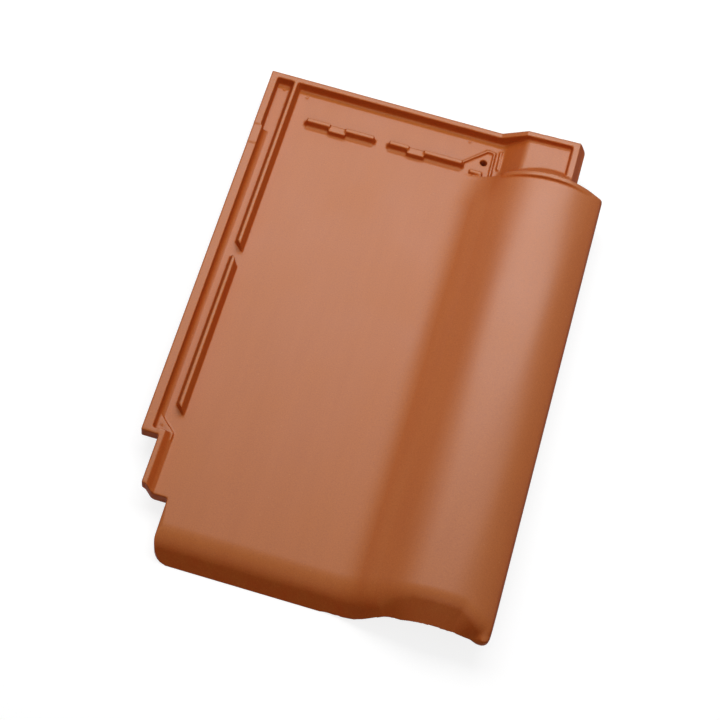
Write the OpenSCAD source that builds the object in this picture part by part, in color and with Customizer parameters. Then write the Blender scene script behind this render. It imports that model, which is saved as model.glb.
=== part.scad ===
// Interlocking clay pantile, pressed and fired as one piece, lying with its pan upward.
// X runs across the tile, Y from the foot to the head, Z upward from the floor.

/* [Body] */
// Width across the tile, side rib to cover edge
tile_w = 260; // [250:1:280]
// Length from the foot to the head
tile_l = 388; // [370:1:420]
// Thickness of the pan
pan_t = 11; // [9:0.5:13]
// Height of the pan surface above the floor
pan_rise = 19; // [17:0.5:23]
// Radius of the rounded foot
nose_r = 14; // [10:0.5:16]
// Depth of the drip lip under the foot, front to back
lip_w = 11; // [8:0.5:15]
// Height of the part of that lip under the roll
rim_h = 2; // [1:0.2:3]

/* [Roll] */
// Radius of the rounded top of the roll
roll_r = 60; // [56:0.5:66]
// Height of the roll above the pan
roll_h = 27; // [24:0.5:31]
// Steepest slope of the left flank, in degrees
flank_a = 42; // [39:1:48]
// Slope where the roll turns into the cover edge, in degrees
cover_a = 35; // [30:1:40]
// Thickness of the roll
roll_t = 10; // [8:0.5:12]
// Radius of the rounded cover edge
edge_r = 6; // [4:0.5:8]
// Thickness of the lip along the cover edge
edge_t = 7; // [6.5:0.5:9]
// Radius of the foot corner of that lip, seen from above
edge_corner_r = 5; // [3:0.5:6]
// Height of the underside of the cover edge above the pan
edge_gap = 3; // [1:0.5:6]

/* [Head] */
// Height of the head rib above the pan
rib_h = 8; // [6:0.5:10]
// Width of the head rib, front to back
rib_w = 4.5; // [3.5:0.5:7]
// Distance from the head to the front face of the weather bar
lap_l = 41.5; // [36:0.5:46]
// Length of the flat top of the weather bar
bar_w = 3; // [2:0.5:5]
// Radius of the weather bar
bar_r = 51; // [49:0.5:53]
// Sideways shift of the weather bar from the middle of the roll towards the pan
bar_shift = 1.5; // [0:0.5:3]
// Height of the weather bar above the roll
bar_h = 2.2; // [1:0.2:3]
// Distance from the cover edge to the side of the raised head
head_inset = 21; // [18:0.5:26]
// Width of the raised head at its floor
head_top_w = 42; // [34:0.5:46]
// Width of the ramp up to the raised head
ramp_w = 16; // [12:0.5:20]
// Radius of the bends at the foot and the shoulder of the ramp
ramp_r = 9; // [5:0.5:12]
// Height of the floor of the raised head above the pan
head_h = 15.5; // [13:0.5:18]
// Rise of the raised head towards its outer side
head_rise = 2; // [0:0.5:3]
// Height of the rib above the floor of the raised head
head_rib_h = 4.5; // [3:0.5:6]
// Thickness of the raised head
head_t = 8; // [6:0.5:10]
// Radius of the outer corner of the raised head, seen from above
head_corner_r = 4.5; // [2:0.5:7]

/* [Side lock] */
// Width of the outer rib
outer_w = 7; // [5.5:0.5:8]
// Width of the outer rib beside the head
outer_head_w = 5.5; // [4:0.5:7]
// Height of each of the two steps down along the outer rib
step_h = 0.6; // [0.2:0.1:1]
// Distance from the head to the first step
step_y = 49; // [44:0.5:55]
// Length between the two steps
pad_l = 16.5; // [10:0.5:22]
// Radius of the hollow that runs down from the outer rib
cove_r = 6; // [4:0.5:6.5]
// Distance from the left edge to the middle of the inner rib
inner_x = 19.8; // [18:0.2:22]
// Width of the inner rib at its top
inner_w = 2.4; // [1.5:0.1:4]
// Width of the inner rib at its foot
inner_foot_w = 7.4; // [5:0.2:8]
// Distance from the head to the drain gap in the inner rib
drain_y = 150; // [120:1:200]
// Width of the drain gap, along the rib
drain_w = 12; // [6:0.5:18]
// Distance from the foot to the lower end of the inner rib
inner_end = 103; // [96:1:130]
// Distance from the foot to the lower end of the outer rib
outer_end = 79; // [72:1:86]
// Thickness of the lower end of the outer rib, which is cut away from below
end_t = 10; // [7:0.5:12]
// Length of that cut, along the rib
end_cut_l = 18; // [12:1:24]
// Distance from the left edge to the lower curb
curb_x = 12.4; // [11:0.2:14]
// Height of the lower curb above the pan
curb_h = 7; // [5:0.5:8]
// Height of the upright outer side of the lower curb
curb_side_h = 8.5; // [7:0.5:11]
// Width of the slanted underside of the lower curb
curb_slant = 9; // [5:0.5:11]
// Distance from the foot to the lower end of the curb
curb_end = 39.5; // [34:0.5:46]
// Distance from the left edge to the side of the foot
foot_x = 31.5; // [28:0.5:36]
// Radius of the rounded left side of the foot
foot_side_r = 8; // [5:0.5:10]
// Radius of the left corner of the foot, seen from above
foot_corner_r = 13; // [9:0.5:16]

/* [Head bars] */
// Distance from the head to the back of the bars
bars_y = 31; // [27:0.5:34]
// Width of each raised block, front to back
block_w = 3.6; // [2.5:0.1:4.5]
// Height of the raised blocks above the pan
block_h = 6.4; // [4:0.2:8]
// Height of the low links between the blocks
link_h = 4.6; // [2.5:0.2:6]
// Width of the ledge in front of the blocks
ledge_w = 2.4; // [1.5:0.1:3.5]
// Height of the ledge
ledge_h = 0.8; // [0.4:0.1:1.2]
// Distance from the left edge to the first pair of blocks
pair_1_x = 36.5; // [32:0.5:42]
// Distance from the second pair of blocks to the nail hole
bars_gap = 15.2; // [13:0.2:22]
// Length of the first block of the first pair
block_1_l = 17.5; // [12:0.5:22]
// Length of the second block of the first pair
block_2_l = 21.5; // [14:0.5:26]
// Length of the first block of the second pair
block_3_l = 14.5; // [10:0.5:20]
// Length of the second block of the second pair
block_4_l = 28.5; // [18:0.5:34]
// Length of the low link between two blocks
link_l = 11.8; // [8:0.2:14]
// Sideways taper of the outer ends of the blocks
block_draft = 2.2; // [0.5:0.1:3]

/* [Nail seat] */
// Diameter of the nail hole
nail_d = 5; // [4:0.1:6.5]
// Distance from the nail hole to the foot of the ramp
nail_gap = 11.5; // [9:0.5:16]
// Distance from the head to the nail hole
nail_y = 24.5; // [21:0.5:27]
// Height of the low rib around the nail seat
seat_h = 2; // [1:0.2:3]
// Width of the low rib around the nail seat
seat_w = 1.6; // [1:0.1:2.5]

/* [Underside] */
// Length of each hanging nib, across the tile
nib_l = 34; // [24:1:44]
// Width of each hanging nib, front to back
nib_w = 14; // [10:0.5:18]
// Distance from the head to the hooking face of the nibs
nib_y = 40; // [34:0.5:50]
// Distance from the left edge to the middle of the first nib
nib_1_x = 62; // [52:1:72]
// Distance between the middles of the two nibs
nib_pitch = 84; // [70:1:94]
// Distance from the cover edge to the lock rib under the roll
lock_x = 20; // [18:0.5:23]
// Thickness of the lock rib
lock_w = 4.5; // [3:0.5:6]

/* [Hidden] */
$fn = 96;

left = -tile_w / 2;
right = tile_w / 2;
foot = -tile_l / 2;
head = tile_l / 2;
sink = 1;

// Middle of the roll, and of the hollow that leads up to it from the pan at a faint crease
crease = 2.5;
roll_x = right - edge_r - (roll_r - edge_r) * sin(cover_a);
roll_z = pan_rise + roll_h - roll_r;
flank_x = roll_x - roll_r * sin(flank_a + crease);
flank_z = roll_z + roll_r * cos(flank_a + crease);
hollow_r = (flank_z - pan_rise) / (cos(crease) - cos(flank_a));
hollow_x = flank_x - hollow_r * sin(flank_a);
hollow_z = flank_z + hollow_r * cos(flank_a);
pan_end = hollow_x + hollow_r * sin(crease) + 4;

// Just inside the rim under the foot of the roll, and the slanted cut that leads up to it
rim_r = roll_r - roll_t - rim_h + 0.5;
roll_from = -flank_a - crease - 5;
lip_cut_x = hollow_x + 13.5;

// Middle of the rounded cover edge, which stands a hair proud of the roll and of its lip
proud = 0.05;
edge_x = right - edge_r;
edge_z = roll_z + (roll_r - edge_r + proud) * cos(cover_a);

// Weather bar and the slope behind it
bar_x = roll_x - bar_shift;
bar_y = head - lap_l;
bar_end = bar_y + bar_w;
bar_z = pan_rise + roll_h + bar_h - bar_r;
bar_t = 7;
slope_l = 12;
collar_t = 20;

// Raised head, from its outer side inward
head_x = right - head_inset;
deck_x = head_x - head_top_w;
ramp_x = deck_x - ramp_w;
side_draft = 5;
deck_z = pan_rise + head_h;
deck_top = pan_rise + head_h + head_rise;

// Nail hole, and the first block of the pair beside it
nail = [ramp_x - nail_gap, head - nail_y];
pair_2_x = nail[0] - bars_gap - block_3_l - link_l - block_4_l;

// Side lock
outer_rib_h = rib_h - 2 * step_h;
first_step = head - step_y;
second_step = first_step - pad_l;
cove_x = left + outer_w + cove_r;
curb_left = left + curb_x;

// Turn of the rounded left side of the foot, which runs out at the notch above it
side_turn = asin((foot_side_r - 2) / curb_end);

// Point at an angle from upright about the middle of the roll
function roll_point(r, a) = [roll_x + r * sin(a), roll_z + r * cos(a)];

// Length of a bend along each of its two straight sides, and the middle of its arc
function unit(v) = v / norm(v);
function half_angle(p, a, b) = acos(unit(a - p) * unit(b - p)) / 2;
function bend_side(p, a, b, r) = r / tan(half_angle(p, a, b));
function bend_mid(p, a, b, r) =
    p + unit(unit(a - p) + unit(b - p)) * r / sin(half_angle(p, a, b));

// Extrudes a shape drawn in X and Z along Y
module along_y(from, to) {
    translate([0, to, 0])
        rotate([90, 0, 0])
            linear_extrude(to - from)
                children();
}

// Extrudes a shape drawn in Y and Z along X
module along_x(from, to) {
    translate([from, 0, 0])
        rotate([90, 0, 90])
            linear_extrude(to - from)
                children();
}

// Turns a shape drawn in radius and Y about an axis along Y, between two angles from upright
module turned(x, z, from, to) {
    translate([x, 0, z])
        rotate([-90, 0, 0])
            rotate_extrude(angle = to - from, start = from - 90)
                children();
}

// Side view of the body: Y along the tile, depth below its surface
module side_shape(depth) {
    difference() {
        translate([foot, -depth])
            square([bar_end - foot, depth]);
        nose_corner();
    }
}

// Side view of the body with the drip lip under its foot
module lip_shape(depth, thick, back) {
    difference() {
        translate([foot, -depth])
            square([back - foot, depth]);
        translate([foot + lip_w, -depth - 1])
            square([tile_l, depth - thick + 1]);
        nose_corner();
    }
}

// Piece between a corner at p, with neighbours a and b, and the arc that rounds it
module bend(p, a, b, r) {
    side = bend_side(p, a, b, r);
    difference() {
        polygon([
            p + unit(a - p) * side,
            p - unit(a - p) - unit(b - p),
            p + unit(b - p) * side
        ]);
        translate(bend_mid(p, a, b, r))
            circle(r + proud);
    }
}

// Waste in front of the rounded foot
module nose_corner() {
    difference() {
        translate([foot - 1, -nose_r])
            square([nose_r + 1, nose_r + 1]);
        translate([foot + nose_r, -nose_r])
            circle(nose_r);
    }
}

// Waste outside a rounded corner that points right and down
module bend_corner(r) {
    difference() {
        translate([0, -1])
            square([r + 1, r + 1]);
        translate([0, r])
            circle(r);
    }
}

module pan() {
    along_x(left, pan_end)
        translate([0, pan_rise])
            lip_shape(pan_rise, pan_t, head);
}

// Hollow flank between the pan and the roll, its lip cut off on a slant
module flank() {
    difference() {
        turned(hollow_x, hollow_z, 179 - flank_a, 180)
            translate([hollow_r, 0])
                rotate(90)
                    lip_shape(pan_rise - 1, pan_t - 0.5, bar_end);
        along_y(foot - 1, foot + lip_w + 1)
            polygon([
                [lip_cut_x, -1],
                [lip_cut_x, 0],
                roll_point(rim_r, roll_from + 1),
                roll_point(rim_r, roll_from + 15),
                [roll_x, 0],
                [roll_x, -1]
            ]);
    }
}

module roll() {
    turned(roll_x, roll_z, roll_from, cover_a)
        translate([roll_r, 0])
            mirror([1, 0])
                rotate(90)
                    lip_shape(roll_t + rim_h, roll_t, bar_end);
}

// Rounded right edge of the roll with its lip hanging down, thicker at the foot
module cover_edge() {
    lip_z = pan_rise + edge_gap;
    turned(edge_x, edge_z, cover_a - 25, 95)
        translate([edge_r, 0])
            mirror([1, 0])
                rotate(90)
                    side_shape(edge_r);
    difference() {
        translate([right - proud, foot, lip_z])
            linear_extrude(edge_z + 0.3 - lip_z)
                difference() {
                    translate([-edge_t, 0])
                        square([edge_t, bar_end - foot]);
                    translate([-edge_corner_r, 0])
                        bend_corner(edge_corner_r);
                }
        along_x(right - edge_t - 1, right + 1)
            translate([foot + edge_r, edge_z + 0.3 - edge_r])
                mirror([1, 1])
                    bend_corner(edge_r);
    }
    along_y(foot + 0.3, foot + lip_w)
        polygon([
            roll_point(rim_r + 1, 12),
            roll_point(rim_r + 1, cover_a - 2),
            [right - edge_t + 2, edge_z - edge_r / 2],
            [right - edge_t + 2, lip_z],
            [right - edge_t - 1.5, lip_z]
        ]);
}

// Bar across the head end of the roll
module weather_bar() {
    turned(bar_x, bar_z, -flank_a - 4, 44)
        polygon([
            [bar_r - bar_t, bar_y],
            [bar_r, bar_y],
            [bar_r, bar_end + 1],
            [bar_r - bar_t, bar_end + 1]
        ]);
}

// Collar that joins the roll to the raised head, sloping down behind the weather bar
module collar() {
    turned(bar_x, bar_z, -flank_a - 4, asin((head_x - side_draft - bar_x) / bar_r))
        polygon([
            [bar_r - collar_t, bar_y + 1],
            [bar_r - 1, bar_y + 1],
            [bar_r - 1, bar_end + 1.5],
            [bar_r - slope_l, bar_end + slope_l],
            [bar_r - collar_t, bar_end + slope_l]
        ]);
}

// Floor of the head where the next tile laps over: pan, bent ramp and raised deck
module head_deck() {
    pan_edge = [pan_end - sink, pan_rise];
    ramp_foot = [ramp_x, pan_rise];
    shoulder = [deck_x, deck_z];
    deck_edge = [head_x - side_draft, deck_top];
    along_y(bar_y, head) {
        difference() {
            polygon([
                [pan_end - sink, pan_rise - pan_t],
                [ramp_x + head_t / 2, pan_rise - pan_t],
                [deck_x + head_t / 2, deck_z - head_t],
                [head_x, deck_z - head_t],
                [head_x, deck_z],
                deck_edge,
                shoulder,
                ramp_foot,
                pan_edge
            ]);
            bend(shoulder, ramp_foot, deck_edge, ramp_r);
        }
        bend(ramp_foot, pan_edge, shoulder, ramp_r);
    }
}

// Rib along the head, over pan, ramp and deck, and down the side of the deck
module head_rib() {
    rib_top = deck_z + head_rib_h;
    along_y(head - rib_w, head)
        polygon([
            [left, pan_rise - sink],
            [ramp_x, pan_rise - sink],
            [deck_x, deck_z - 2 * sink],
            [head_x, deck_z - 2 * sink],
            [head_x - side_draft, rib_top + head_rise],
            [deck_x - 2, rib_top],
            [ramp_x - 4, pan_rise + rib_h],
            [left, pan_rise + rib_h]
        ]);
    along_y(bar_end, head)
        polygon([
            [head_x - side_draft - rib_w - 1, deck_z],
            [head_x, deck_z - sink],
            [head_x - side_draft, rib_top + head_rise],
            [head_x - side_draft - rib_w, rib_top + head_rise - 0.3]
        ]);
}

// Outer rib of the side lock, stepping down twice from the head
module outer_rib() {
    along_y(first_step, head)
        polygon([
            [left, pan_rise - sink],
            [left, pan_rise + rib_h],
            [left + outer_head_w, pan_rise + rib_h],
            [left + outer_head_w + 1, pan_rise - sink]
        ]);
    along_y(second_step, first_step)
        outer_shape(rib_h - step_h);
    along_y(foot + outer_end, second_step)
        outer_shape(outer_rib_h);
}

// Section of the outer rib with the hollow that runs down to the channel
module outer_shape(height) {
    difference() {
        translate([left, pan_rise - sink])
            square([outer_w + cove_r, height + sink]);
        translate([cove_x, pan_rise + cove_r])
            circle(cove_r);
        translate([left + outer_w, pan_rise + cove_r])
            square([cove_r + 1, rib_h]);
    }
}

// Inner rib of the side lock, in two lengths with slanted ends
module inner_rib() {
    mid = left + inner_x;
    half = inner_foot_w / 2 + 1;
    gap_y = head - drain_y;
    end_y = foot + inner_end;
    difference() {
        along_y(end_y - half, head)
            polygon([
                [mid - inner_foot_w / 2, pan_rise],
                [mid - inner_w / 2, pan_rise + rib_h],
                [mid + inner_w / 2, pan_rise + rib_h],
                [mid + inner_foot_w / 2, pan_rise],
                [mid + inner_foot_w / 2, pan_rise - sink],
                [mid - inner_foot_w / 2, pan_rise - sink]
            ]);
        translate([0, 0, pan_rise - sink - 1])
            linear_extrude(rib_h + sink + 2) {
                polygon([
                    [mid - half, gap_y + half],
                    [mid + half, gap_y - half],
                    [mid + half, gap_y - half - drain_w],
                    [mid - half, gap_y + half - drain_w]
                ]);
                polygon([
                    [mid - half, end_y + half],
                    [mid + half, end_y - half],
                    [mid + half, end_y - half - 8],
                    [mid - half, end_y - half - 8]
                ]);
            }
    }
}

// Low curb that carries the side lock on towards the foot, with the drain stop above it
module lower_curb() {
    curb_top = pan_rise + curb_h;
    along_y(foot + curb_end - 1, foot + outer_end + 5)
        polygon([
            [curb_left - sink, pan_rise - sink],
            [curb_left - sink, curb_top],
            [curb_left + 3.5, curb_top - 0.5],
            [curb_left + 7, pan_rise + 2.2],
            [curb_left + 9.5, pan_rise],
            [curb_left + 9.5, pan_rise - sink]
        ]);
    along_y(foot + outer_end, foot + outer_end + 4)
        polygon([
            [left + 1, pan_rise - sink],
            [left + 1, pan_rise + outer_rib_h - 0.5],
            [curb_left + 2, curb_top - 0.4],
            [curb_left + 2, pan_rise - sink]
        ]);
    translate([0, 0, pan_rise - sink])
        linear_extrude(sink + 1.8)
            polygon([
                [left + 2, foot + outer_end],
                [left + 2, foot + outer_end + 18],
                [left + 9, foot + outer_end + 17],
                [curb_left + 8.5, foot + outer_end + 6],
                [curb_left + 8.5, foot + outer_end]
            ]);
}

// One raised block of the head bars with tapered ends
module block(x, length, left_draft, right_draft) {
    along_y(head - bars_y - block_w, head - bars_y)
        polygon([
            [x - left_draft, pan_rise - sink],
            [x, pan_rise + block_h],
            [x + length, pan_rise + block_h],
            [x + length + right_draft, pan_rise - sink]
        ]);
    translate([x, head - bars_y - block_w - ledge_w, pan_rise - sink])
        cube([length, ledge_w + 1, ledge_h + sink]);
}

// A pair of blocks with the low link between them
module block_pair(x, first_l, second_l) {
    block(x, first_l, block_draft, 0.2);
    block(x + first_l + link_l, second_l, 0.2, block_draft);
    translate([x + first_l - 0.5, head - bars_y - block_w - ledge_w, pan_rise - sink])
        cube([link_l + 1, block_w + ledge_w, link_h + sink]);
}

module head_bars() {
    block_pair(left + pair_1_x, block_1_l, block_2_l);
    block_pair(pair_2_x, block_3_l, block_4_l);
}

// Plan of a low rib along a straight line between two points
module low_rib(from, to) {
    along = unit(to - from) * seat_w / 2;
    across = [-along[1], along[0]];
    polygon([
        from - along - across,
        to + along - across,
        to + along + across,
        from - along + across
    ]);
}

// Low rib around the nail hole, open towards the pan, with a stop block at its mouth
module nail_seat() {
    top = nail + [0.8, 10];
    shoulder = nail + [6.1, 9.7];
    translate([0, 0, pan_rise - sink])
        linear_extrude(seat_h + sink) {
            low_rib(nail + [-15.5, -5.6], top);
            low_rib(top, shoulder);
            low_rib(shoulder, nail + [6.9, -14]);
            low_rib(nail + [10.4, 11.7], nail + [11.1, -3]);
        }
    translate([nail[0] - 8.3, nail[1] - 12.8, pan_rise - sink])
        cube([9.2, 3.2, 2.8 + sink]);
}

// Hanging nibs under the head and the lock rib under the roll
module underside() {
    for (x = [nib_1_x, nib_1_x + nib_pitch])
        along_x(left + x - nib_l / 2, left + x + nib_l / 2)
            polygon([
                [head - nib_y, 0],
                [head - nib_y, pan_rise - pan_t + sink],
                [head - nib_y + nib_w + 3, pan_rise - pan_t + sink],
                [head - nib_y + nib_w, 0]
            ]);
    along_y(foot + outer_end, bar_y)
        translate([right - lock_x - lock_w, pan_rise + edge_gap])
            square([lock_w, roll_h - edge_gap - roll_t]);
}

// Outline cut at the left of the foot: two notches and the rounded corner
module corner_cut() {
    translate([0, 0, -1])
        linear_extrude(pan_rise + rib_h + 2)
            union() {
                polygon([
                    [left - 1, foot - 1],
                    [left - 1, foot + outer_end],
                    [left + curb_x, foot + outer_end],
                    [left + curb_x, foot + curb_end + 3],
                    [left + curb_x + 2.6, foot + curb_end + 3],
                    [left + curb_x + 7.6, foot + curb_end],
                    [left + foot_x, foot + curb_end],
                    [left + foot_x, foot - 1]
                ]);
                difference() {
                    translate([left + foot_x - 1, foot - 1])
                        square(foot_corner_r + 1);
                    translate([left + foot_x + foot_corner_r, foot + foot_corner_r])
                        circle(foot_corner_r);
                }
            }
    intersection() {
        translate([left + foot_x, foot, 0])
            rotate([0, 0, side_turn])
                along_y(-foot_side_r, curb_end + foot_side_r)
                    difference() {
                        translate([-foot_side_r, pan_rise - foot_side_r])
                            square([2 * foot_side_r, foot_side_r + 1]);
                        translate([foot_side_r, pan_rise - foot_side_r + proud])
                            circle(foot_side_r);
                    }
        translate([left, foot - 1, 0])
            cube([foot_x + 2 * foot_side_r, curb_end + 1, 2 * pan_rise]);
    }
}

// Undersides cut away at the two lower ends of the side lock
module end_cuts() {
    under = pan_rise - pan_t;
    side_z = pan_rise + curb_h - curb_side_h;
    along_x(left - 1, curb_left)
        polygon([
            [foot + outer_end - 1, -1],
            [foot + outer_end - 1, pan_rise + outer_rib_h - end_t],
            [foot + outer_end, pan_rise + outer_rib_h - end_t],
            [foot + outer_end + end_cut_l, under],
            [foot + outer_end + end_cut_l, -1]
        ]);
    along_y(foot + curb_end - 1, foot + outer_end)
        polygon([
            [curb_left - 1, -1],
            [curb_left - 1, side_z],
            [curb_left, side_z],
            [curb_left + curb_slant, under],
            [curb_left + curb_slant, -1]
        ]);
}

// Rounded outer corner of the raised head
module head_corner() {
    translate([head_x - head_corner_r, head, pan_rise - pan_t])
        linear_extrude(pan_t + head_h + head_rise + head_rib_h + 1)
            mirror([0, 1])
                bend_corner(head_corner_r);
}

module nail_hole() {
    translate([nail[0], nail[1], -1])
        cylinder(h = pan_rise + 2, d = nail_d);
}

module roof_tile() {
    color("#b5683f")
        difference() {
            union() {
                pan();
                flank();
                roll();
                cover_edge();
                weather_bar();
                collar();
                head_deck();
                head_rib();
                outer_rib();
                inner_rib();
                lower_curb();
                head_bars();
                nail_seat();
                underside();
            }
            corner_cut();
            end_cuts();
            head_corner();
            nail_hole();
        }
}

roof_tile();
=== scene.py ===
from math import cos, pi, radians, sin

import bmesh
import bpy
import numpy as np
from mathutils import Matrix, Vector


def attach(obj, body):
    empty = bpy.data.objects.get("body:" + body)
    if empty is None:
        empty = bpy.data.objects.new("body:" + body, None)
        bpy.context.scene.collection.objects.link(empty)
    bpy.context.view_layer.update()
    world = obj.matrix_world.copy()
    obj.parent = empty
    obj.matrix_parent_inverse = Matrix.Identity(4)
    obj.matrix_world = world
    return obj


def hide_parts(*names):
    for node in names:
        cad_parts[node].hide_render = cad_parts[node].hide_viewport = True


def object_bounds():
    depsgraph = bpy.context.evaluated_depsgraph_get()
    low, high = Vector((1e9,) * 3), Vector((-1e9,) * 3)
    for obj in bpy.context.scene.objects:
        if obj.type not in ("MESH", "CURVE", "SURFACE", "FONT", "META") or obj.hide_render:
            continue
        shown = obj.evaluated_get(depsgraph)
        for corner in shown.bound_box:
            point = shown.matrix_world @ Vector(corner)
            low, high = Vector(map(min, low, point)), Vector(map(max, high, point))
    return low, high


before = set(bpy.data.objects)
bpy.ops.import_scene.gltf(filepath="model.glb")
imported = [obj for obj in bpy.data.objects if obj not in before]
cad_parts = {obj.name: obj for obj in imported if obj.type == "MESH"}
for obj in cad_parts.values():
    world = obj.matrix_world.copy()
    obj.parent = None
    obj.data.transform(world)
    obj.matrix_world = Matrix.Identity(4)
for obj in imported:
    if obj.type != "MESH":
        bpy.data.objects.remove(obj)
cad_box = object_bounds()

scene = bpy.context.scene
scene.view_settings.view_transform = "Standard"

MM = 0.001
TRIANGLES = 190000
VOXEL = 0.65

# Driving sizes of the tile, in mm and radians
RIGHT = 130.0
FOOT = -194.0
HEAD = 194.0
PAN_RISE = 19.0
CAD_NOSE_R = 14.0
LIP_W = 11.0
LIP_DEPTH = 19.5
ROLL_R = 60.0
ROLL_H = 27.0
ROLL_T = 10.0
RIM_T = 12.0
EDGE_R = 6.0
FLANK_A = radians(42.0)
COVER_A = radians(35.0)
CREASE_A = radians(2.5)
FLANK_T = 10.5
BAR_Y = HEAD - 41.5
BAR_W = 3.0
BAR_R = 51.0
BAR_H = 2.2
BAR_SHIFT = 1.5
BAR_A = radians(44.0)

# Middles of the arcs of the roll, hollow flank, cover edge and weather bar, as (x, z) in mm
ROLL = (RIGHT - EDGE_R - (ROLL_R - EDGE_R) * sin(COVER_A), PAN_RISE + ROLL_H - ROLL_R)
FLANK_X = ROLL[0] - ROLL_R * sin(FLANK_A + CREASE_A)
FLANK_Z = ROLL[1] + ROLL_R * cos(FLANK_A + CREASE_A)
HOLLOW_R = (FLANK_Z - PAN_RISE) / (cos(CREASE_A) - cos(FLANK_A))
HOLLOW = (FLANK_X - HOLLOW_R * sin(FLANK_A), FLANK_Z + HOLLOW_R * cos(FLANK_A))
PAN_X = HOLLOW[0] + HOLLOW_R * sin(CREASE_A)
EDGE = (RIGHT - EDGE_R, ROLL[1] + (ROLL_R - EDGE_R) * cos(COVER_A))
BAR = (ROLL[0] - BAR_SHIFT, PAN_RISE + ROLL_H + BAR_H - BAR_R)

# Front of the foot: its rounding, lean and depth at some angles round the roll, and how much deeper
# the rim under the roll gets
EDGE_A = radians(88.0)
NOSE_ANGLES = [radians(-44.0), radians(-20.0), radians(15.0), COVER_A, EDGE_A]
NOSE_RADII = [20.0, 13.0, 13.0, 12.0, 7.0]
NOSE_LEANS = [radians(57.0), radians(48.0), radians(48.0), radians(70.0), radians(88.0)]
NOSE_DEPTHS = [19.0, 18.0, 18.0, 18.0, 19.0]
NOSE_REACH = 30.0
RIM_ANGLES = [radians(-44.0), radians(-30.0), radians(12.0), radians(33.0)]
RIM_DEEPEN = [1.0, 1.3, 1.3, 1.0]

# Straight flank: its slope at some places across the tile, and the run in which it fades at the bar
FLANK_AT = [20.0, 40.0, 60.0, 77.0]
FLANK_SLOPES = [0.0, radians(30.71), radians(30.71), radians(15.49)]
FILL_RUN = 25.0

# A point within this distance in mm of a true curve belongs to it
SNAP = 0.3

# Spots of the foot that are rubbed smooth, as a point and a reach in mm
SOFT_SPOTS = [((RIGHT - 3.0, FOOT + 2.0, PAN_RISE + 8.0), 12.0), ((27.0, FOOT, 0.5), 5.0)]

# Small round marks left by the press, as (x, y) in mm
PIN_MARKS = [(-118.0, 185.5), (-100.0, 184.0), (25.5, 184.5), (-118.5, -106.5)]
PIN_R = 0.9
PIN_DEPTH = 0.7

# Waves of the uneven surface: how many, and the height of each in mm
WAVES = 14
WAVE_H = 0.02


# Corners of a box as plain lists
def plain(box):
    return [[float(value) for value in corner] for corner in box]


# Camera at the photograph's viewing angle
def add_camera():
    data = bpy.data.cameras.new("camera")
    data.sensor_width = 36.0
    data.lens = 95.92
    data.shift_x = 0.0628
    data.shift_y = -0.0166
    data.clip_end = 20.0
    camera = bpy.data.objects.new("camera", data)
    scene.collection.objects.link(camera)
    right = Vector((0.95903, 0.2757, 0.06518))
    up = Vector((-0.27365, 0.84203, 0.46487))
    back = Vector((0.07328, -0.46366, 0.88298))
    place = Matrix((right, up, back)).transposed().to_4x4()
    place.translation = Vector((0.0611, -0.6332, 1.1930))
    camera.matrix_world = place
    scene.camera = camera


# Soft box lamp, width by height in metres
def add_lamp(name, place, target, width, height, energy):
    data = bpy.data.lights.new(name, "AREA")
    data.shape = "RECTANGLE"
    data.size = width
    data.size_y = height
    data.energy = energy
    lamp = bpy.data.objects.new(name, data)
    scene.collection.objects.link(lamp)
    lamp.location = place
    aim = Vector(target) - Vector(place)
    lamp.rotation_euler = aim.to_track_quat("-Z", "Y").to_euler()
    return lamp


# Rays that see the white surroundings: from the camera, from glossy surfaces and through glass
def seen_rays(tree):
    path = tree.nodes.new("ShaderNodeLightPath")
    total = path.outputs["Is Camera Ray"]
    for name in ("Is Glossy Ray", "Is Transmission Ray"):
        total = add_math(tree, "MAXIMUM", total, path.outputs[name])
    return total


def add_world(strength):
    world = bpy.data.worlds.new("world")
    world.use_nodes = True
    tree = world.node_tree
    sky = tree.nodes["Background"]
    sky.inputs["Color"].default_value = (1.0, 1.0, 1.0, 1.0)
    sky.inputs["Strength"].default_value = strength
    white = tree.nodes.new("ShaderNodeBackground")
    white.inputs["Color"].default_value = (1.0, 1.0, 1.0, 1.0)
    white.inputs["Strength"].default_value = 1.0
    mix = tree.nodes.new("ShaderNodeMixShader")
    tree.links.new(seen_rays(tree), mix.inputs["Fac"])
    tree.links.new(sky.outputs["Background"], mix.inputs[1])
    tree.links.new(white.outputs["Background"], mix.inputs[2])
    tree.links.new(mix.outputs["Shader"], tree.nodes["World Output"].inputs["Surface"])
    scene.world = world


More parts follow.
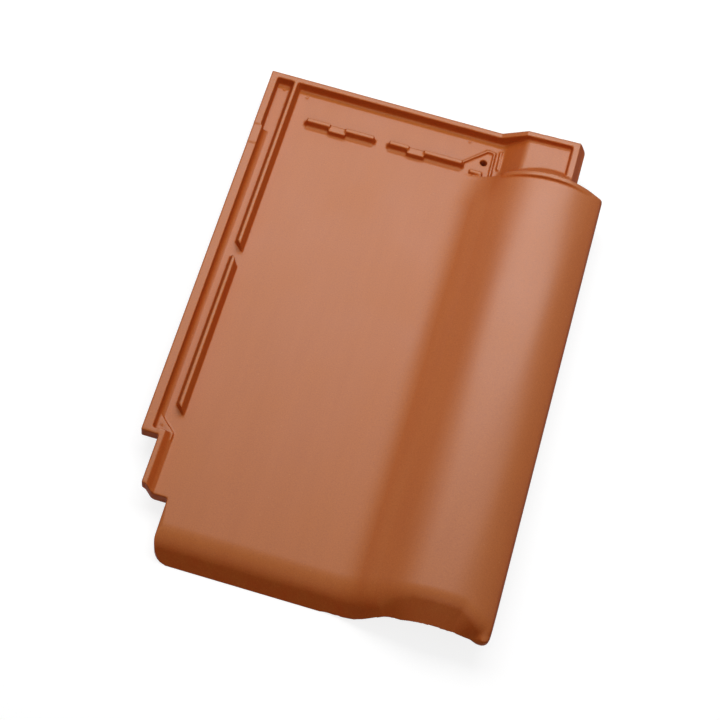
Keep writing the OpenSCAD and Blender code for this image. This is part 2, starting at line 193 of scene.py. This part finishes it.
# White floor that keeps a soft shadow
def add_floor():
    mesh = bpy.data.meshes.new("floor")
    half = 4.0
    mesh.from_pydata(
        [(-half, -half, 0.0), (half, -half, 0.0), (half, half, 0.0), (-half, half, 0.0)],
        [],
        [(0, 1, 2, 3)],
    )
    floor = bpy.data.objects.new("floor", mesh)
    scene.collection.objects.link(floor)
    material = bpy.data.materials.new("floor")
    material.use_nodes = True
    tree = material.node_tree
    tree.nodes.clear()
    out = tree.nodes.new("ShaderNodeOutputMaterial")
    grey = tree.nodes.new("ShaderNodeBsdfDiffuse")
    grey.inputs["Color"].default_value = (0.2, 0.2, 0.2, 1.0)
    pale = tree.nodes.new("ShaderNodeBsdfDiffuse")
    pale.inputs["Color"].default_value = (0.35, 0.35, 0.35, 1.0)
    glow = tree.nodes.new("ShaderNodeEmission")
    glow.inputs["Color"].default_value = (1.0, 1.0, 1.0, 1.0)
    glow.inputs["Strength"].default_value = 0.8
    both = tree.nodes.new("ShaderNodeAddShader")
    tree.links.new(pale.outputs["BSDF"], both.inputs[0])
    tree.links.new(glow.outputs["Emission"], both.inputs[1])
    mix = tree.nodes.new("ShaderNodeMixShader")
    tree.links.new(seen_rays(tree), mix.inputs["Fac"])
    tree.links.new(grey.outputs["BSDF"], mix.inputs[1])
    tree.links.new(both.outputs["Shader"], mix.inputs[2])
    tree.links.new(mix.outputs["Shader"], out.inputs["Surface"])
    mesh.materials.append(material)


# Turns a piece's modifiers into its mesh
def apply_all(piece):
    depsgraph = bpy.context.evaluated_depsgraph_get()
    depsgraph.update()
    mesh = bpy.data.meshes.new_from_object(piece.evaluated_get(depsgraph))
    piece.modifiers.clear()
    piece.data = mesh


# Vertices of a piece as rows of x, y and z in mm
def get_points(piece):
    flat = np.empty(3 * len(piece.data.vertices))
    piece.data.vertices.foreach_get("co", flat)
    return flat.reshape(-1, 3) / MM


def set_points(piece, points):
    piece.data.vertices.foreach_set("co", (points * MM).ravel())
    piece.data.update()


def between(values, low, high):
    return (values > low) & (values < high)


# Offsets, distances and angles of the points from the middle of an arc, measured from upright
def around(points, middle, facing):
    x = points[:, 0] - middle[0]
    z = (points[:, 2] - middle[1]) * facing
    return x, z, np.hypot(x, z), np.arctan2(x, z)


# Clay that fills the hollow flank out, so that it runs straight from the pan up to the roll
def flank_fill(x, y):
    steps = np.linspace(FLANK_AT[0], FLANK_AT[-1], 400)
    slope = np.interp(steps, FLANK_AT, FLANK_SLOPES)
    rise = 0.5 * (np.tan(slope[1:]) + np.tan(slope[:-1])) * np.diff(steps)
    straight = PAN_RISE + np.concatenate(([0.0], np.cumsum(rise)))
    hollow = HOLLOW[1] - np.sqrt(np.maximum(HOLLOW_R**2 - (steps - HOLLOW[0]) ** 2, 0.0))
    roll = ROLL[1] + np.sqrt(np.maximum(ROLL_R**2 - (steps - ROLL[0]) ** 2, 0.0))
    curved = np.where(steps < PAN_X, PAN_RISE, np.where(steps < FLANK_X, hollow, roll))
    fill = (straight - curved) * np.cos(slope)
    return np.interp(x, steps, fill, 0.0, 0.0) * np.clip((BAR_Y - y) / FILL_RUN, 0.0, 1.0)


# Moves points of the top surface and of the foot onto the true curve, with a front that leans back
def settle(points, chosen, depth, normal_x, normal_z, angle, deepen):
    y = points[:, 1]
    cad_back = np.minimum(y - FOOT - CAD_NOSE_R, 0.0)
    cad_deep = np.minimum(depth - CAD_NOSE_R, 0.0)
    near = np.abs(np.hypot(cad_back, cad_deep) - CAD_NOSE_R) < SNAP
    nose = np.interp(angle, NOSE_ANGLES, NOSE_RADII)
    lean = np.interp(angle, NOSE_ANGLES, NOSE_LEANS)
    bottom = np.interp(angle, NOSE_ANGLES, NOSE_DEPTHS)
    back = y - FOOT - (nose + np.cos(lean) * (bottom - nose)) / np.sin(lean)
    rise = nose - depth * deepen
    tilt = np.clip(np.arctan2(-back, rise), 0.0, lean)
    off = np.cos(tilt) * rise - np.sin(tilt) * back - nose
    outside = (off > 0.0) & (y < FOOT + NOSE_REACH)
    chosen = chosen & (near | outside) & between(depth, -1.0, LIP_DEPTH) & (y < BAR_Y - 1.0)
    move = flank_fill(points[:, 0] + normal_x * depth, y) - off
    shift = np.where(chosen, depth - depth * deepen + np.cos(tilt) * move, 0.0)
    points[:, 0] += normal_x * shift
    points[:, 1] -= np.where(chosen, np.sin(tilt) * move, 0.0)
    points[:, 2] += normal_z * shift
    return chosen


# Moves points near a round surface along Y onto its true radius
def round_off(points, middle, radius, low, high, from_y, to_y, facing):
    x, z, reach, angle = around(points, middle, facing)
    chosen = (np.abs(reach - radius) < SNAP) & between(angle, low, high)
    chosen &= between(points[:, 1], from_y, to_y)
    scale = radius / reach[chosen]
    points[chosen, 0] = middle[0] + x[chosen] * scale
    points[chosen, 2] = middle[1] + z[chosen] * scale * facing


# The faceted pan, flank, roll, cover edge and weather bar put back onto their true curves
def true_curves(points):
    flat = np.zeros(len(points))
    left = flat + NOSE_ANGLES[0]
    x, z, reach, turn = around(points, HOLLOW, -1.0)
    roll_x, roll_z, roll_reach, roll_turn = around(points, ROLL, 1.0)
    edge_x, edge_z, edge_reach, edge_turn = around(points, EDGE, 1.0)

    pan = turn <= CREASE_A
    flank = between(turn, CREASE_A, FLANK_A)
    roll = (turn >= FLANK_A) & (roll_turn <= COVER_A)
    edge = between(edge_turn, COVER_A, EDGE_A) & (edge_reach < EDGE_R + 1.0)
    deepen = np.interp(roll_turn, RIM_ANGLES, RIM_DEEPEN)
    depth = ROLL_R - roll_reach
    rim = roll & between(depth, ROLL_T + 0.5, LIP_DEPTH) & (points[:, 1] < FOOT + LIP_W + 0.4)

    settle(points, pan, PAN_RISE - points[:, 2], flat, flat + 1.0, left, 1.0)
    settle(points, flank, reach - HOLLOW_R, -x / reach, z / reach, left, 1.0)
    moved = settle(points, roll, depth, roll_x / roll_reach, roll_z / roll_reach, roll_turn, deepen)
    settle(points, edge, EDGE_R - edge_reach, edge_x / edge_reach, edge_z / edge_reach, edge_turn, 1.0)
    rim &= ~moved
    sink = (depth * (deepen - 1.0) / roll_reach)[rim]
    points[rim, 0] -= roll_x[rim] * sink
    points[rim, 2] -= roll_z[rim] * sink

    under_y = FOOT + LIP_W + 1.0
    round_off(points, ROLL, ROLL_R - ROLL_T, -FLANK_A, COVER_A, under_y, BAR_Y, 1.0)
    round_off(points, HOLLOW, HOLLOW_R + FLANK_T, 0.0, FLANK_A, under_y, BAR_Y, -1.0)
    round_off(points, BAR, BAR_R, -FLANK_A, BAR_A, BAR_Y + 0.5, BAR_Y + BAR_W + 0.5, 1.0)


# Slight waves of pressed and dried clay, longer along the tile than across it
def unevenness(points):
    rng = np.random.default_rng(7)
    rise = np.zeros(len(points))
    for _ in range(WAVES):
        across = 2.0 * pi / rng.uniform(22.0, 70.0)
        along = 2.0 * pi / rng.uniform(90.0, 320.0) * rng.choice([-1.0, 1.0])
        start = rng.uniform(0.0, 2.0 * pi)
        rise += WAVE_H * np.sin(across * points[:, 0] + along * points[:, 1] + start)
    return rise


# Vertex group whose weights are rounded to eighths
def add_group(piece, name, weights):
    group = piece.vertex_groups.new(name=name)
    steps = 8
    levels = np.round(weights * steps).astype(int)
    for level in range(1, steps + 1):
        group.add(np.flatnonzero(levels == level).tolist(), level / steps, "REPLACE")


def add_smooth(piece, name, times):
    smooth = piece.modifiers.new(name, "SMOOTH")
    smooth.factor = 0.5
    smooth.iterations = times
    return smooth


# The tile with the softened edges and slight unevenness of pressed clay
def add_tile():
    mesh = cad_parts["roof_tile"].data.copy()
    build = bmesh.new()
    build.from_mesh(mesh)
    bmesh.ops.remove_doubles(build, verts=build.verts, dist=1e-6)
    build.to_mesh(mesh)
    build.free()
    piece = bpy.data.objects.new("tile", mesh)
    scene.collection.objects.link(piece)
    remesh = piece.modifiers.new("remesh", "REMESH")
    remesh.mode = "VOXEL"
    remesh.voxel_size = VOXEL * MM
    apply_all(piece)

    points = get_points(piece)
    true_curves(points)
    set_points(piece, points)
    soft = np.zeros(len(points))
    for middle, size in SOFT_SPOTS:
        far = np.linalg.norm(points - np.array(middle), axis=1)
        soft = np.maximum(soft, np.clip(1.5 - far / size, 0.0, 1.0))
    add_group(piece, "soft", soft)
    add_smooth(piece, "blend", 60).vertex_group = "soft"
    add_smooth(piece, "soft_edges", 5)
    apply_all(piece)
    piece.vertex_groups.clear()

    points = get_points(piece)
    normals = np.empty(3 * len(points))
    piece.data.vertex_normals.foreach_get("vector", normals)
    upward = normals.reshape(-1, 3)[:, 2]
    rise = unevenness(points) * np.clip(upward, 0.0, 1.0)
    for x, y in PIN_MARKS:
        far = np.hypot(points[:, 0] - x, points[:, 1] - y)
        rise -= PIN_DEPTH * np.exp(-((far / PIN_R) ** 2)) * (upward > 0.5)
    points[:, 2] += rise
    low, high = np.array(plain(cad_box)) / MM
    set_points(piece, np.clip(points, low, high))

    decimate = piece.modifiers.new("decimate", "DECIMATE")
    decimate.ratio = TRIANGLES / (2 * len(piece.data.polygons))
    apply_all(piece)
    piece.data.shade_smooth()
    return piece


def add_noise(tree, place, scale, detail, stretch=(1.0, 1.0, 1.0)):
    mapping = tree.nodes.new("ShaderNodeMapping")
    mapping.inputs["Scale"].default_value = stretch
    tree.links.new(place, mapping.inputs["Vector"])
    noise = tree.nodes.new("ShaderNodeTexNoise")
    noise.inputs["Scale"].default_value = scale
    noise.inputs["Detail"].default_value = detail
    tree.links.new(mapping.outputs["Vector"], noise.inputs["Vector"])
    return noise.outputs["Fac"]


def add_range(tree, value, low, high, to_low, to_high):
    node = tree.nodes.new("ShaderNodeMapRange")
    node.inputs["From Min"].default_value = low
    node.inputs["From Max"].default_value = high
    node.inputs["To Min"].default_value = to_low
    node.inputs["To Max"].default_value = to_high
    tree.links.new(value, node.inputs["Value"])
    return node.outputs["Result"]


def add_math(tree, operation, first, second):
    node = tree.nodes.new("ShaderNodeMath")
    node.operation = operation
    tree.links.new(first, node.inputs[0])
    tree.links.new(second, node.inputs[1])
    return node.outputs["Value"]


def add_mix(tree, factor, first, second):
    node = tree.nodes.new("ShaderNodeMix")
    node.data_type = "RGBA"
    for socket, value in ((node.inputs[0], factor), (node.inputs[6], first), (node.inputs[7], second)):
        if isinstance(value, bpy.types.NodeSocket):
            tree.links.new(value, socket)
        else:
            socket.default_value = value
    return node.outputs[2]


# Fired red clay: mottled, faintly streaked along the press, with fine grain and a few pale specks
def clay():
    material = bpy.data.materials.new("clay")
    material.use_nodes = True
    tree = material.node_tree
    shader = tree.nodes["Principled BSDF"]
    coords = tree.nodes.new("ShaderNodeTexCoord")
    place = coords.outputs["Object"]
    facing = tree.nodes.new("ShaderNodeSeparateXYZ")
    tree.links.new(coords.outputs["Normal"], facing.inputs["Vector"])
    # Faces turned from upward get a darker, deeper red and a low specular level; the colour is painted
    # shade, the deeper red these sides and the nose show in their shade
    upward_faces = add_range(tree, facing.outputs["Z"], 0.55, 0.97, 0.0, 1.0)

    cloud = add_noise(tree, place, 24.0, 4.0)
    streak = add_noise(tree, place, 110.0, 3.0, (1.0, 0.1, 1.0))
    grain = add_noise(tree, place, 1100.0, 3.0)
    # Deeper red for faces turned from upward is painted shade; the paler orange is the colour of the
    # top
    colour = add_mix(tree, upward_faces, (0.48, 0.078, 0.014, 1.0), (0.45, 0.122, 0.016, 1.0))
    tone = add_range(tree, cloud, 0.3, 0.7, 0.3, 0.0)
    colour = add_mix(tree, tone, colour, (0.40, 0.09, 0.012, 1.0))
    lines = add_range(tree, streak, 0.35, 0.65, 0.0, 0.3)
    colour = add_mix(tree, lines, colour, (0.49, 0.135, 0.024, 1.0))
    dark = add_range(tree, grain, 0.5, 0.2, 0.0, 0.5)
    colour = add_mix(tree, dark, colour, (0.31, 0.072, 0.012, 1.0))
    light = add_range(tree, grain, 0.55, 0.8, 0.0, 0.4)
    colour = add_mix(tree, light, colour, (0.56, 0.18, 0.04, 1.0))

    cells = tree.nodes.new("ShaderNodeTexVoronoi")
    cells.inputs["Scale"].default_value = 150.0
    tree.links.new(place, cells.inputs["Vector"])
    near = add_range(tree, cells.outputs["Distance"], 0.1, 0.04, 0.0, 1.0)
    pick = add_range(tree, cells.outputs["Color"], 0.72, 0.74, 0.0, 0.35)
    colour = add_mix(tree, add_math(tree, "MULTIPLY", near, pick), colour, (0.56, 0.22, 0.07, 1.0))

    # Convex edges turn paler: in part a painted highlight along the rounded edges, in part rubbed wear
    edge = tree.nodes.new("ShaderNodeNewGeometry").outputs["Pointiness"]
    wear_and_highlight = add_range(tree, edge, 0.53, 0.62, 0.0, 0.3)
    colour = add_mix(tree, wear_and_highlight, colour, (0.48, 0.145, 0.036, 1.0))
    tree.links.new(colour, shader.inputs["Base Color"])

    tree.links.new(add_range(tree, upward_faces, 0.0, 1.0, 0.04, 0.5), shader.inputs["Specular IOR Level"])
    height = tree.nodes.new("ShaderNodeSeparateXYZ")
    tree.links.new(place, height.inputs["Vector"])
    rubbed = add_range(tree, height.outputs["Z"], 24.0 * MM, 43.0 * MM, 0.462, 0.405)
    rough = add_math(
        tree,
        "ADD",
        add_range(tree, grain, 0.3, 0.7, -0.03, 0.03),
        add_range(tree, cloud, 0.3, 0.7, -0.02, 0.02),
    )
    tree.links.new(add_math(tree, "ADD", rubbed, rough), shader.inputs["Roughness"])

    bump = tree.nodes.new("ShaderNodeBump")
    bump.inputs["Strength"].default_value = 0.35
    bump.inputs["Distance"].default_value = 0.1 * MM
    tree.links.new(grain, bump.inputs["Height"])
    tree.links.new(bump.outputs["Normal"], shader.inputs["Normal"])
    return material


add_camera()
add_floor()
add_world(0.03)
# One long lamp gives the sheen alone, and the other three the light without gloss
sheen = add_lamp("sheen", (-0.05, 0.78, 1.06), (-0.05, 0.3, 0.0), 1.5, 0.12, 12.6)
sheen.visible_diffuse = False
key = add_lamp("key", (-0.05, 0.28, 0.75), (-0.05, 0.28, 0.0), 0.8, 0.6, 4.5)
key.visible_glossy = False
fill = add_lamp("fill", (-0.01, -0.02, 1.25), (-0.01, 0.0, 0.0), 2.58, 2.06, 4.4)
fill.visible_glossy = False
front = add_lamp("front", (0.15, -1.3, 1.0), (0.0, 0.0, 0.0), 1.2, 0.8, 4.5)
front.visible_glossy = False
tile = add_tile()
tile.data.materials.clear()
tile.data.materials.append(clay())
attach(tile, "root")
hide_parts("roof_tile")
